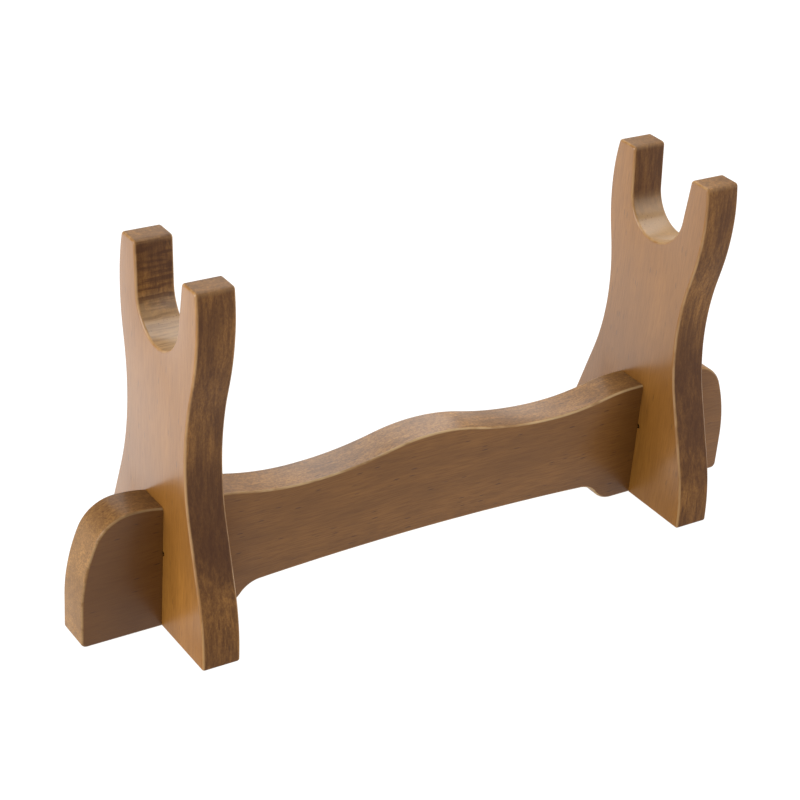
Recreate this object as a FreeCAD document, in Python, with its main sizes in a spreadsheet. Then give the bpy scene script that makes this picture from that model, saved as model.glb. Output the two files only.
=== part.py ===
"""A wooden display stand that goes together dry: one scalloped stretcher and two uprights.

Frame: millimetres, +Z up, the floor at Z = 0, the origin at the middle of the footprint.
X runs along the stretcher and Y runs through its thickness.
The stretcher is slotted from above and each upright from below, so they cross in a lap joint.
"""
import FreeCAD, Part
import Sketcher
import math
import os

DRIVING_SIZES = [
    ("upright_spacing", 286.0),    # between the middles of the two upright boards
    ("ear_length", 42.3),          # how far the stretcher stands out past each upright
    # stretcher board
    ("beam_thickness", 20.0),
    ("beam_height", 70.2),         # floor to the crest of the middle hump
    ("valley_depth", 9.3),         # hump crest down to the lowest point of the top edge
    ("valley_at", 75.6),           # that lowest point, from the middle of the stand
    ("hump_share", 0.35),          # hump radius as a share of hump plus valley radius
    ("joint_rise", 5.9),           # lowest point up to the flat that crosses the upright
    ("bend_share", 0.36),          # radius of the bend up to that flat, shared likewise
    ("flat_lead", 5.0),            # the flat begins this far before the upright
    ("flat_tuck", 2.0),            # and ends this far inside the upright's outer face
    ("ear_rise", 2.1),             # flat up to the crest of the ear
    ("ear_reach", 26.5),           # crest of the ear to the end of the stretcher
    ("ear_shoulder_radius", 21.0),
    ("ear_straight", 19.7),        # height of the upright part of the end
    ("toe_radius", 3.0),
    ("foot_lead", 12.0),           # the stretcher's foot begins this far before the upright
    ("ogee_run", 23.2),            # length of the curve between the foot and the arch
    ("arch_height", 14.4),         # floor to the underside in the middle
    ("arch_end_height", 11.5),     # floor to the underside where the arch meets the curve
    # upright board
    ("upright_thickness", 20.0),
    ("upright_height", 190.0),
    ("foot_width", 105.0),
    ("waist_width", 59.3),
    ("waist_height", 105.7),
    ("flank_steepness", 1.57),     # slope of the straight flank over its average slope
    ("shoulder_width", 76.4),
    ("shoulder_drop", 20.2),       # top of the prongs down to the widest point
    ("brow_steepness", 1.83),      # the same for the flank between waist and shoulder
    ("tip_radius", 90.0),          # outline of the prong above its widest point
    ("cradle_radius", 20.5),
    ("cradle_depth", 42.4),
    ("cradle_flare", 2.3),         # how much further apart each cradle wall is at its mouth
    ("prong_round", 2.2),          # corners of the prong tips
    ("foot_round", 1.6),           # outer corners of the feet
    # lap joint and finishing
    ("lap_height", 42.0),          # floor to the face where the two slots meet
    ("joint_clearance", 0.1),      # each side of a board in its slot
    ("lap_clearance", 0.2),        # between the two slot ends
    ("relief_radius", 1.4),        # drilled corners at the end of the upright's slot
    ("arris_radius", 1.3),         # sanded edges of every board
]

LENGTHWAYS = "XZ_Plane"
CROSSWAYS = "YZ_Plane"
HORIZONTAL_AXIS = -1
VERTICAL_AXIS = -2
RUN_OUT = 10.0                     # how far a slot's cutter runs past the wood
ON_PLANE = 1e-4

doc = FreeCAD.newDocument("DisplayStand")
size = dict(DRIVING_SIZES)


def make_sheet():
    sheet = doc.addObject("Spreadsheet::Sheet", "Sizes")
    for row, (name, value) in enumerate(DRIVING_SIZES, start=1):
        sheet.set(f"A{row}", name)
        sheet.set(f"B{row}", str(value))
        sheet.setAlias(f"B{row}", name)
    doc.recompute()


class Outline:
    """Closed loops of lines and arcs in a sketch, each curve starting where the last ended."""

    START, END, CENTRE = 1, 2, 3

    def __init__(self, body, name, plane, start):
        self.sketch = body.newObject("Sketcher::SketchObject", name)
        origin_plane = [p for p in body.Origin.OriginFeatures if p.Role == plane]
        self.sketch.AttachmentSupport = [(origin_plane[0], "")]
        self.sketch.MapMode = "FlatFace"
        self.ends = []
        self.start_loop(start)

    def start_loop(self, start):
        self.here = start
        self.first = len(self.ends)

    def join(self, curve, tail, head, smooth):
        if len(self.ends) > self.first:
            kind = "Tangent" if smooth else "Coincident"
            self.rule(kind, *self.ends[-1][2], curve, tail)
        self.ends.append((curve, (curve, tail), (curve, head)))
        return curve

    def line(self, x, y, smooth=False):
        first = FreeCAD.Vector(*self.here, 0)
        curve = self.sketch.addGeometry(Part.LineSegment(first, FreeCAD.Vector(x, y, 0)))
        self.here = (x, y)
        return self.join(curve, self.START, self.END, smooth)

    def arc(self, centre, x, y, clockwise, smooth=False):
        tail_angle = math.atan2(self.here[1] - centre[1], self.here[0] - centre[0])
        head_angle = math.atan2(y - centre[1], x - centre[0])
        first, last = (head_angle, tail_angle) if clockwise else (tail_angle, head_angle)
        if last < first:
            last += 2 * math.pi
        circle = Part.Circle(FreeCAD.Vector(*centre, 0), FreeCAD.Vector(0, 0, 1),
                             math.dist(self.here, centre))
        curve = self.sketch.addGeometry(Part.ArcOfCircle(circle, first, last))
        self.here = (x, y)
        if clockwise:
            return self.join(curve, self.END, self.START, smooth)
        return self.join(curve, self.START, self.END, smooth)

    def close(self):
        self.rule("Coincident", *self.ends[-1][2], *self.ends[self.first][1])

    def tail(self, curve):
        return [start for number, start, _ in self.ends if number == curve][0]

    def head(self, curve):
        return [end for number, _, end in self.ends if number == curve][0]

    def rule(self, kind, *items):
        return self.sketch.addConstraint(Sketcher.Constraint(kind, *items))

    def bind(self, kind, items, value, formula):
        number = self.rule(kind, *items, value)
        self.sketch.setExpression(f"Constraints[{number}]", formula)

    def place(self, point, x=None, y=None):
        """Fixes a point's distance from the origin; x and y are formulas of the sheet."""
        where = self.sketch.getPoint(*point)
        if x is not None:
            self.bind("DistanceX", (-1, 1, *point), where.x, x)
        if y is not None:
            self.bind("DistanceY", (-1, 1, *point), where.y, y)

    def level(self, curve, point):
        """The arc stands upright at this end, so its centre is level with it."""
        self.rule("Horizontal", curve, self.CENTRE, *point)

    def plumb(self, curve, point):
        """The arc lies flat at this end, so its centre is straight above or below it."""
        self.rule("Vertical", curve, self.CENTRE, *point)

    def centre_on_axis(self, curve, axis):
        self.rule("PointOnObject", curve, self.CENTRE, axis)


def new_body(name):
    body = doc.addObject("PartDesign::Body", name)
    body.Label = name
    return body


def finish_sketch(outline):
    doc.recompute()
    if not outline.sketch.FullyConstrained:
        raise RuntimeError(outline.sketch.Name + " is not fully constrained")
    return outline.sketch


def pad(body, sketch, name, thickness):
    feature = body.newObject("PartDesign::Pad", name)
    feature.Profile = sketch
    feature.SideType = "Symmetric"
    feature.Refine = True
    feature.setExpression("Length", thickness)
    body.Tip = feature
    doc.recompute()
    return feature


def pocket(body, sketch, name):
    before = body.Shape.Volume
    feature = body.newObject("PartDesign::Pocket", name)
    feature.Profile = sketch
    feature.SideType = "Symmetric"
    feature.Type = "ThroughAll"
    body.Tip = feature
    doc.recompute()
    if feature.Shape.Volume > before - 1.0:
        raise RuntimeError(name + " cut nothing")
    return feature


def mirror(body, feature, name, plane):
    copy = body.newObject("PartDesign::Mirrored", name)
    copy.Originals = [feature]
    origin_plane = [p for p in body.Origin.OriginFeatures if p.Role == plane]
    copy.MirrorPlane = (origin_plane[0], [""])
    copy.Refine = True
    body.Tip = copy
    doc.recompute()
    return copy


def fillet(body, name, radius, chosen):
    base = body.Tip
    edges = [f"Edge{n}" for n, edge in enumerate(base.Shape.Edges, start=1) if chosen(edge)]
    feature = body.newObject("PartDesign::Fillet", name)
    feature.Base = (base, edges)
    feature.setExpression("Radius", radius)
    body.Tip = feature
    doc.recompute()
    return feature


def on_face(edge, axis, half_thickness):
    """True for an edge that lies in one of the board's two broad faces."""
    points = [edge.valueAt(edge.FirstParameter), edge.valueAt(edge.LastParameter)]
    return all(abs(abs(point[axis]) - half_thickness) < ON_PLANE for point in points) \
        and points[0][axis] * points[1][axis] > 0


def inside(edge, axis, middle, half_width, low, high):
    """True for an edge that a slot made: it lies between the slot's walls, low to high."""
    points = [edge.valueAt(edge.FirstParameter), edge.valueAt(edge.LastParameter)]
    return all(abs(abs(point[axis]) - middle) < half_width + ON_PLANE for point in points) \
        and all(low - ON_PLANE < point.z < high + ON_PLANE for point in points)


def through_corner(edge, axis, corners):
    """True for a straight edge through the thickness at one of the outline's corners."""
    first, last = edge.valueAt(edge.FirstParameter), edge.valueAt(edge.LastParameter)
    across, up = (1, 2) if axis == 0 else (0, 2)
    if abs(first[axis] - last[axis]) < ON_PLANE:
        return False
    return any(math.hypot(abs(first[across]) - corner[0], first[up] - corner[1]) < ON_PLANE
               for corner in corners)


def meeting_point(first, first_radius, second, second_radius):
    """Where two touching arcs meet, on the line between their centres."""
    share = first_radius / (first_radius + second_radius)
    return tuple(a + share * (b - a) for a, b in zip(first, second))


def radii_of_pair(run, rise):
    """The two radii together of touching arcs that are level at both ends."""
    return (run ** 2 + rise ** 2) / (2 * rise)


def make_stretcher():
    """The long board, drawn for the +X half: scalloped top, rounded ear, arched underside."""
    upright_inner = (size["upright_spacing"] - size["upright_thickness"]) / 2
    upright_outer = upright_inner + size["upright_thickness"]
    end_x = upright_outer + size["ear_length"]
    valley = (size["valley_at"], size["beam_height"] - size["valley_depth"])
    flat_start = (upright_inner - size["flat_lead"], valley[1] + size["joint_rise"])
    flat_end = (upright_outer - size["flat_tuck"], flat_start[1])
    crest = (end_x - size["ear_reach"], flat_start[1] + size["ear_rise"])
    foot_start = (upright_inner - size["foot_lead"], 0.0)
    arch_end = (foot_start[0] - size["ogee_run"], size["arch_end_height"])

    inner_pair = radii_of_pair(valley[0], size["valley_depth"])
    hump_radius = size["hump_share"] * inner_pair
    inner_radius = inner_pair - hump_radius
    hump = (0.0, size["beam_height"] - hump_radius)
    inner_valley = (valley[0], valley[1] + inner_radius)
    outer_pair = radii_of_pair(flat_start[0] - valley[0], size["joint_rise"])
    bend_radius = size["bend_share"] * outer_pair
    outer_radius = outer_pair - bend_radius
    bend = (flat_start[0], flat_start[1] - bend_radius)
    outer_valley = (valley[0], valley[1] + outer_radius)
    brow_radius = radii_of_pair(crest[0] - flat_end[0], size["ear_rise"])
    shoulder_radius = size["ear_shoulder_radius"]
    drop = crest[1] - size["ear_straight"] - shoulder_radius
    spare = size["ear_reach"] - shoulder_radius
    side_radius = (size["ear_reach"] ** 2 + drop ** 2 - shoulder_radius ** 2) / (2 * spare)
    shoulder = (crest[0], crest[1] - shoulder_radius)
    side = (end_x - side_radius, size["ear_straight"])
    stretch = side_radius / (side_radius - shoulder_radius)
    shoulder_end = tuple(a + stretch * (b - a) for a, b in zip(side, shoulder))
    ogee_radius = radii_of_pair(size["ogee_run"], arch_end[1]) / 2
    toe = (end_x - size["toe_radius"], size["toe_radius"])
    ogee_low = (foot_start[0], ogee_radius)
    ogee_high = (arch_end[0], arch_end[1] - ogee_radius)
    arch_radius = radii_of_pair(arch_end[0], size["arch_height"] - arch_end[1])

    body = new_body("stretcher")
    edge = Outline(body, "stretcher_outline", LENGTHWAYS, (0.0, size["arch_height"]))
    middle = edge.line(0.0, size["beam_height"])
    hump_top = edge.arc(hump, *meeting_point(hump, hump_radius, inner_valley, inner_radius),
                        clockwise=True)
    valley_in = edge.arc(inner_valley, *valley, clockwise=False, smooth=True)
    valley_out = edge.arc(outer_valley, *meeting_point(bend, bend_radius, outer_valley,
                                                       outer_radius), clockwise=False)
    bend_up = edge.arc(bend, *flat_start, clockwise=True, smooth=True)
    flat = edge.line(*flat_end, smooth=True)
    brow = edge.arc((crest[0], crest[1] - brow_radius), *crest, clockwise=True)
    ear_shoulder = edge.arc(shoulder, *shoulder_end, clockwise=True)
    ear_side = edge.arc(side, end_x, size["ear_straight"], clockwise=True, smooth=True)
    end_face = edge.line(end_x, size["toe_radius"], smooth=True)
    toe_round = edge.arc(toe, toe[0], 0.0, clockwise=True, smooth=True)
    foot = edge.line(*foot_start, smooth=True)
    ogee_out = edge.arc(ogee_low, *meeting_point(ogee_low, ogee_radius, ogee_high, ogee_radius),
                        clockwise=True, smooth=True)
    ogee_in = edge.arc(ogee_high, *arch_end, clockwise=False, smooth=True)
    arch = edge.arc((0.0, size["arch_height"] - arch_radius), 0.0, size["arch_height"],
                    clockwise=False)
    edge.close()

    edge.rule("PointOnObject", *edge.tail(middle), VERTICAL_AXIS)
    edge.rule("Vertical", middle)
    edge.centre_on_axis(hump_top, VERTICAL_AXIS)
    edge.centre_on_axis(arch, VERTICAL_AXIS)
    edge.plumb(valley_in, edge.head(valley_in))
    edge.plumb(valley_out, edge.tail(valley_out))
    edge.plumb(brow, edge.head(brow))
    edge.plumb(ear_shoulder, edge.tail(ear_shoulder))
    edge.plumb(ogee_in, edge.head(ogee_in))
    edge.rule("Horizontal", flat)
    edge.rule("Vertical", end_face)
    edge.rule("Horizontal", foot)
    edge.rule("PointOnObject", *edge.head(foot), HORIZONTAL_AXIS)
    edge.rule("Equal", ogee_out, ogee_in)

    inner = "(Sizes.upright_spacing - Sizes.upright_thickness) / 2"
    outer = "(Sizes.upright_spacing + Sizes.upright_thickness) / 2"
    low = "Sizes.beam_height - Sizes.valley_depth"
    edge.place(edge.tail(middle), y="Sizes.arch_height")
    edge.place(edge.head(middle), y="Sizes.beam_height")
    edge.bind("Radius", (hump_top,), hump_radius,
              "Sizes.hump_share * (Sizes.valley_at ^ 2 + Sizes.valley_depth ^ 2)"
              " / (2 * Sizes.valley_depth)")
    edge.place(edge.head(valley_in), x="Sizes.valley_at", y=low)
    edge.bind("Radius", (bend_up,), bend_radius,
              f"Sizes.bend_share * (({inner} - Sizes.flat_lead - Sizes.valley_at) ^ 2"
              " + Sizes.joint_rise ^ 2) / (2 * Sizes.joint_rise)")
    edge.place(edge.head(bend_up), x=f"{inner} - Sizes.flat_lead",
               y=f"{low} + Sizes.joint_rise")
    edge.place(edge.head(flat), x=f"{outer} - Sizes.flat_tuck")
    edge.place(edge.head(brow), x=f"{outer} + Sizes.ear_length - Sizes.ear_reach",
               y=f"{low} + Sizes.joint_rise + Sizes.ear_rise")
    edge.bind("Radius", (ear_shoulder,), shoulder_radius, "Sizes.ear_shoulder_radius")
    edge.place(edge.head(ear_side), x=f"{outer} + Sizes.ear_length", y="Sizes.ear_straight")
    edge.bind("Radius", (toe_round,), size["toe_radius"], "Sizes.toe_radius")
    edge.place(edge.head(foot), x=f"{inner} - Sizes.foot_lead")
    edge.place(edge.head(ogee_in), x=f"{inner} - Sizes.foot_lead - Sizes.ogee_run",
               y="Sizes.arch_end_height")

    half = pad(body, finish_sketch(edge), "stretcher_half", "Sizes.beam_thickness")
    mirror(body, half, "stretcher_whole", CROSSWAYS)
    cut_stretcher_slots(body)
    slot_half = size["upright_thickness"] / 2 + size["joint_clearance"]
    slot = (0, size["upright_spacing"] / 2, slot_half,
            size["lap_height"] - size["lap_clearance"], size["beam_height"])
    fillet(body, "stretcher_arrises", "Sizes.arris_radius",
           lambda e: on_face(e, 1, size["beam_thickness"] / 2) and not inside(e, *slot))
    return body


def slot_loop(edge, left, bottom, right, top):
    """A rectangle drawn from its lower left corner; gives that corner and the one opposite."""
    edge.start_loop((left, bottom))
    sides = [edge.line(right, bottom), edge.line(right, top),
             edge.line(left, top), edge.line(left, bottom)]
    edge.close()
    for number, side in enumerate(sides):
        edge.rule("Vertical" if number % 2 else "Horizontal", side)
    return edge.tail(sides[0]), edge.head(sides[1])


def cut_stretcher_slots(body):
    """The two slots from above that take the uprights."""
    half_width = size["upright_thickness"] / 2 + size["joint_clearance"]
    half_formula = "(Sizes.upright_thickness / 2 + Sizes.joint_clearance)"
    bottom = size["lap_height"] - size["lap_clearance"]
    top = size["beam_height"] + RUN_OUT
    edge = Outline(body, "stretcher_slots_outline", LENGTHWAYS, (0.0, 0.0))
    for side in (-1, 1):
        middle = side * size["upright_spacing"] / 2
        low, high = slot_loop(edge, middle - half_width, bottom, middle + half_width, top)
        edge.place(low, x=f"{side} * Sizes.upright_spacing / 2 - {half_formula}",
                   y="Sizes.lap_height - Sizes.lap_clearance")
        edge.place(high, x=f"{side} * Sizes.upright_spacing / 2 + {half_formula}",
                   y=f"Sizes.beam_height + {RUN_OUT}")
    return pocket(body, finish_sketch(edge), "stretcher_slots")


def flank(rise, shift, steepness):
    """Lean and radius of two equal arcs and a straight that shift an outline sideways."""
    lean = math.atan(steepness * shift / rise)
    radius = (rise * math.sin(lean) - shift * math.cos(lean)) / (2 * (1 - math.cos(lean)))
    return lean, radius


def make_upright(name, side):
    """One upright, drawn for its +Y half: foot, waist, shoulder, prong and cradle."""
    foot_half = size["foot_width"] / 2
    waist = (size["waist_width"] / 2, size["waist_height"])
    shoulder = (size["shoulder_width"] / 2, size["upright_height"] - size["shoulder_drop"])
    top = size["upright_height"]
    low_lean, low_radius = flank(waist[1], foot_half - waist[0], size["flank_steepness"])
    high_lean, high_radius = flank(shoulder[1] - waist[1], shoulder[0] - waist[0],
                                   size["brow_steepness"])
    tip_inset = size["tip_radius"] - math.sqrt(size["tip_radius"] ** 2
                                               - size["shoulder_drop"] ** 2)
    radius = size["cradle_radius"]
    cradle = (0.0, top - size["cradle_depth"] + radius)
    mouth = (radius + size["cradle_flare"], top)
    reach = math.dist(mouth, cradle)
    towards_mouth = math.atan2(mouth[1] - cradle[1], mouth[0] - cradle[0])
    touch = towards_mouth - math.acos(radius / reach)

    def off_foot(lean, arc_radius):
        return (foot_half - arc_radius * (1 - math.cos(lean)), arc_radius * math.sin(lean))

    def off_waist(lean, arc_radius, up):
        return (waist[0] + arc_radius * (1 - math.cos(lean)),
                waist[1] + up * arc_radius * math.sin(lean))

    body = new_body(name)
    edge = Outline(body, name + "_outline", CROSSWAYS, (0.0, 0.0))
    base = edge.line(foot_half, 0.0)
    foot_arc = edge.arc((foot_half - low_radius, 0.0), *off_foot(low_lean, low_radius),
                        clockwise=False)
    low_flank = edge.line(*off_waist(low_lean, low_radius, -1), smooth=True)
    waist_low = edge.arc((waist[0] + low_radius, waist[1]), *waist, clockwise=True, smooth=True)
    waist_high = edge.arc((waist[0] + high_radius, waist[1]),
                          *off_waist(high_lean, high_radius, 1), clockwise=True)
    high_flank = edge.line(shoulder[0] - high_radius * (1 - math.cos(high_lean)),
                           shoulder[1] - high_radius * math.sin(high_lean), smooth=True)
    shoulder_arc = edge.arc((shoulder[0] - high_radius, shoulder[1]), *shoulder,
                            clockwise=False, smooth=True)
    tip = edge.arc((shoulder[0] - size["tip_radius"], shoulder[1]),
                   shoulder[0] - tip_inset, top, clockwise=False)
    crown = edge.line(*mouth)
    wall = edge.line(cradle[0] + radius * math.cos(touch), cradle[1] + radius * math.sin(touch))
    hollow = edge.arc(cradle, 0.0, top - size["cradle_depth"], clockwise=True, smooth=True)
    middle = edge.line(0.0, 0.0)
    edge.close()

    edge.rule("Coincident", *edge.tail(base), -1, 1)
    edge.rule("Horizontal", base)
    edge.rule("Horizontal", crown)
    edge.rule("Vertical", middle)
    edge.centre_on_axis(foot_arc, HORIZONTAL_AXIS)
    edge.centre_on_axis(hollow, VERTICAL_AXIS)
    edge.level(waist_low, edge.head(waist_low))
    edge.level(waist_high, edge.tail(waist_high))
    edge.level(shoulder_arc, edge.head(shoulder_arc))
    edge.level(tip, edge.tail(tip))
    edge.rule("Equal", foot_arc, waist_low)
    edge.rule("Equal", waist_high, shoulder_arc)

    shoulder_level = "Sizes.upright_height - Sizes.shoulder_drop"
    edge.place(edge.head(base), x="Sizes.foot_width / 2")
    edge.place(edge.head(waist_low), x="Sizes.waist_width / 2", y="Sizes.waist_height")
    edge.place(edge.head(shoulder_arc), x="Sizes.shoulder_width / 2", y=shoulder_level)
    edge.bind("Angle", (low_flank,), math.pi / 2 + low_lean,
              "90 deg + atan(Sizes.flank_steepness * (Sizes.foot_width - Sizes.waist_width)"
              " / 2 / Sizes.waist_height)")
    edge.bind("Angle", (high_flank,), math.pi / 2 - high_lean,
              "90 deg - atan(Sizes.brow_steepness * (Sizes.shoulder_width"
              f" - Sizes.waist_width) / 2 / ({shoulder_level} - Sizes.waist_height))")
    edge.bind("Radius", (tip,), size["tip_radius"], "Sizes.tip_radius")
    edge.place(edge.head(crown), x="Sizes.cradle_radius + Sizes.cradle_flare",
               y="Sizes.upright_height")
    edge.bind("Radius", (hollow,), radius, "Sizes.cradle_radius")
    edge.place(edge.head(hollow), y="Sizes.upright_height - Sizes.cradle_depth")

    half = pad(body, finish_sketch(edge), name + "_half", "Sizes.upright_thickness")
    mirror(body, half, name + "_whole", LENGTHWAYS)
    prong_corners = [(shoulder[0] - tip_inset, top), mouth]
    fillet(body, name + "_prong_tips", "Sizes.prong_round",
           lambda e: through_corner(e, 0, prong_corners))
    fillet(body, name + "_foot_corners", "Sizes.foot_round",
           lambda e: through_corner(e, 0, [(foot_half, 0.0)]))
    cut_upright_slot(body, name)
    slot_half = size["beam_thickness"] / 2 + size["joint_clearance"] + size["relief_radius"]
    slot = (1, 0.0, slot_half, 0.0, size["lap_height"] + size["relief_radius"])
    fillet(body, name + "_arrises", "Sizes.arris_radius",
           lambda e: on_face(e, 0, size["upright_thickness"] / 2) and not inside(e, *slot))
    body.setExpression("Placement.Base.x", f"{side} * Sizes.upright_spacing / 2")
    return body


def cut_upright_slot(body, name):
    """The slot from below that straddles the stretcher, with its two drilled end corners."""
    half_width = size["beam_thickness"] / 2 + size["joint_clearance"]
    half_formula = "Sizes.beam_thickness / 2 + Sizes.joint_clearance"
    edge = Outline(body, name + "_slot_outline", CROSSWAYS, (0.0, 0.0))
    low, high = slot_loop(edge, -half_width, -RUN_OUT, half_width, size["lap_height"])
    edge.place(low, x=f"-({half_formula})", y=f"-{RUN_OUT}")
    edge.place(high, x=half_formula, y="Sizes.lap_height")
    pocket(body, finish_sketch(edge), name + "_slot")

    corners = Outline(body, name + "_relief_outline", CROSSWAYS, (0.0, 0.0))
    upwards = FreeCAD.Vector(0, 0, 1)
    for side in (-1, 1):
        centre = FreeCAD.Vector(side * half_width, size["lap_height"], 0)
        hole = corners.sketch.addGeometry(Part.Circle(centre, upwards, size["relief_radius"]))
        corners.bind("Radius", (hole,), size["relief_radius"], "Sizes.relief_radius")
        corners.place((hole, Outline.CENTRE), x=f"{side} * ({half_formula})",
                      y="Sizes.lap_height")
    pocket(body, finish_sketch(corners), name + "_slot_relief")


def check_document(bodies):
    for thing in doc.Objects:
        if {"Invalid", "Error"} & set(thing.State):
            raise RuntimeError(thing.Name + " failed: " + str(thing.State))
    for body in bodies:
        if body.Shape.isNull() or not body.Shape.isValid() or len(body.Shape.Solids) != 1:
            raise RuntimeError(body.Label + " is not one valid solid")


make_sheet()
boards = [make_stretcher(), make_upright("left_upright", -1), make_upright("right_upright", 1)]
doc.recompute()
check_document(boards)
os.makedirs("parts", exist_ok=True)
for board in boards:
    board.Shape.exportStep("parts/" + board.Label + ".step")
    box = board.Shape.BoundBox
    print(board.Label, "volume", round(board.Shape.Volume), "mm3, from",
          [round(v, 2) for v in (box.XMin, box.YMin, box.ZMin)], "to",
          [round(v, 2) for v in (box.XMax, box.YMax, box.ZMax)])
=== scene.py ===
# %% [markdown]
# A display stand of three stained boards, made the way a joiner would make it.
#
# The stand is one long scalloped stretcher and two waisted uprights with a U-shaped cradle each.
# They are slotted half way and cross dry, so the whole object is three boards and the thin gaps
# between them. The lesson cuts each board flat on the bench, sands its edges, stains and lacquers
# it, stands it up where the design says, and then lights it like a small product.
# The design is loaded first, because every size and place below is taken from it.

# %% Load the design
import bmesh
import bpy
import math
from mathutils import Matrix, Vector


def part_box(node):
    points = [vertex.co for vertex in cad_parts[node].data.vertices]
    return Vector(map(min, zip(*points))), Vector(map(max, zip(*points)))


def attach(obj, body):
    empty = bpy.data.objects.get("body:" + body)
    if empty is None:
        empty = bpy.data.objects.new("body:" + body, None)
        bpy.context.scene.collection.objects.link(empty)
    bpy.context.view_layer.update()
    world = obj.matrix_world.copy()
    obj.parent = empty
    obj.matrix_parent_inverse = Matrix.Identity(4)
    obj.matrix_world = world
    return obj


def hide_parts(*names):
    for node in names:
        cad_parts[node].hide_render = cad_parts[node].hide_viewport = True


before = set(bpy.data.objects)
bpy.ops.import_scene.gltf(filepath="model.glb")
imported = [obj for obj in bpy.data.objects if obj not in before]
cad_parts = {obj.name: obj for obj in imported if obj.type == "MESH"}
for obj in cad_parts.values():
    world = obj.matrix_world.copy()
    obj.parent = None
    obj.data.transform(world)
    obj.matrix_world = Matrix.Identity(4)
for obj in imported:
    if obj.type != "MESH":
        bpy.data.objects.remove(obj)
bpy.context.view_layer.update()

# %% [markdown]
# Sizes. The overall sizes are read from the design's own boxes, so the looks can't drift from it.
# The rest are the joiner's numbers, in millimetres, written once and turned into metres. They
# could all be typed in metres, but a maker thinks in millimetres and would notice a wrong one.

# %% Sizes
MM = 0.001

beam_low, beam_high = (Vector(corner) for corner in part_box("stretcher"))
right_low, right_high = (Vector(corner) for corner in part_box("right_upright"))

BEAM_THICKNESS = beam_high.y - beam_low.y
BEAM_HEIGHT = beam_high.z
BEAM_HALF_LENGTH = beam_high.x
UPRIGHT_THICKNESS = right_high.x - right_low.x
UPRIGHT_HEIGHT = right_high.z
UPRIGHT_MIDDLE = (right_low.x + right_high.x) / 2

ARRIS = 1.3 * MM            # the sanded edges of every board
JOINT_GAP = 0.1 * MM        # each side of a board in its slot
LAP_HEIGHT = 42.0 * MM      # where the two slots of a joint meet
LAP_GAP = 0.2 * MM
SLOT_LIP = 2 * ARRIS        # a slot's straight wall starts this far inside its mouth

print("stretcher", round(2 * BEAM_HALF_LENGTH / MM, 1), "mm long, uprights",
      round(UPRIGHT_HEIGHT / MM, 1), "mm high,", round(2 * UPRIGHT_MIDDLE / MM, 1), "mm apart")

# %% [markdown]
# A pen for outlines. A real board is sawn to a line drawn from a template, so it starts here as a
# closed path in its own flat plane. The path is kept in runs: a sanded run has its edges rounded
# over, while a sawn run, the slot of a joint, stays crisp. The pen draws lines and arcs and
# samples them evenly. One list of points typed by hand would be quicker to start with and
# impossible to change.

# %% Lines and arcs
STEP = 1.3 * MM             # between two points on an arc
LINE_STEP = 3 * STEP        # a straight needs fewer points
MOST_TURN = 0.2             # radians from point to point on a tight arc
FEWEST_STEPS = 3


class Run:
    """One stretch of an outline, drawn with the wood on its left."""

    def __init__(self, x, y, sanded=True):
        self.points = [Vector((x, y))]
        self.sanded = sanded

    def line(self, x, y):
        start, end = self.points[-1], Vector((x, y))
        steps = max(1, round((end - start).length / LINE_STEP))
        self.points += [start.lerp(end, step / steps) for step in range(1, steps + 1)]
        return self

    def arc(self, centre_x, centre_y, x, y, clockwise=False):
        centre = Vector((centre_x, centre_y))
        start, end = self.points[-1] - centre, Vector((x, y)) - centre
        turn = math.atan2(end.y, end.x) - math.atan2(start.y, start.x)
        turn = -((-turn) % math.tau) if clockwise else turn % math.tau
        steps = max(FEWEST_STEPS, round(abs(turn) * start.length / STEP),
                    round(abs(turn) / MOST_TURN))
        for step in range(1, steps + 1):
            offset = start.copy()
            offset.rotate(Matrix.Rotation(turn * step / steps, 2))
            self.points.append(centre + offset)
        return self

    def mirrored(self):
        """The same stretch on the other side of x = 0, drawn on from where this one ends."""
        for point in reversed(self.points[:-1]):
            self.points.append(Vector((-point.x, point.y)))
        return self


print("pen ready, a point every", STEP / MM, "mm on a curve")

# %% [markdown]
# The double curve. Both boards are full of S shapes that leave one level and settle on another.
# A maker draws each with a compass: two arcs that touch, or two arcs with a straight between them.
# A spline would need handles pulled about by eye. The compass needs only the run, the rise, how
# the two radii share the run, and how steep the straight is.

# %% Two touching arcs
def double_curve(run, x, y, level, share=0.5, steepness=None):
    """Draws on to (x, y). level: both ends lie along x, else along y. steepness is the slope of
    the straight over the average slope, and without it the two arcs touch."""
    start = run.points[-1].copy()
    ahead, aside = x - start.x, y - start.y
    if not level:
        ahead, aside = aside, ahead
    slope = abs(aside / ahead)
    lean = math.atan(steepness * slope) if steepness else 2 * math.atan(slope)
    sine, versine = math.sin(lean), 1 - math.cos(lean)
    radii = (abs(ahead) * sine - abs(aside) * math.cos(lean)) / versine
    first, second = radii * share, radii * (1 - share)
    turns_left = (ahead * aside > 0) == level
    forward, sideways = math.copysign(1, ahead), math.copysign(1, aside)

    def point(along, across):
        along, across = forward * along, sideways * across
        return start + (Vector((along, across)) if level else Vector((across, along)))

    bend = point(first * sine, first * versine)
    other = point(abs(ahead) - second * sine, abs(aside) - second * versine)
    run.arc(*point(0, first), *bend, clockwise=not turns_left)
    if (other - bend).length > STEP / 10:
        run.line(*other)
    return run.arc(*point(abs(ahead), abs(aside) - second), x, y, clockwise=turns_left)


trial = double_curve(Run(0.0, 0.0), 20 * MM, 5 * MM, level=True)
print("a double curve of 20 by 5 mm has", len(trial.points), "points")

# %% [markdown]
# Small roundings. Where two sanded runs would meet at a sharp corner, such as at a foot or at the
# tip of a prong, the maker takes the corner off with a file. The corner's point and its nearest
# neighbours are replaced by an arc that touches both sides.

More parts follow.
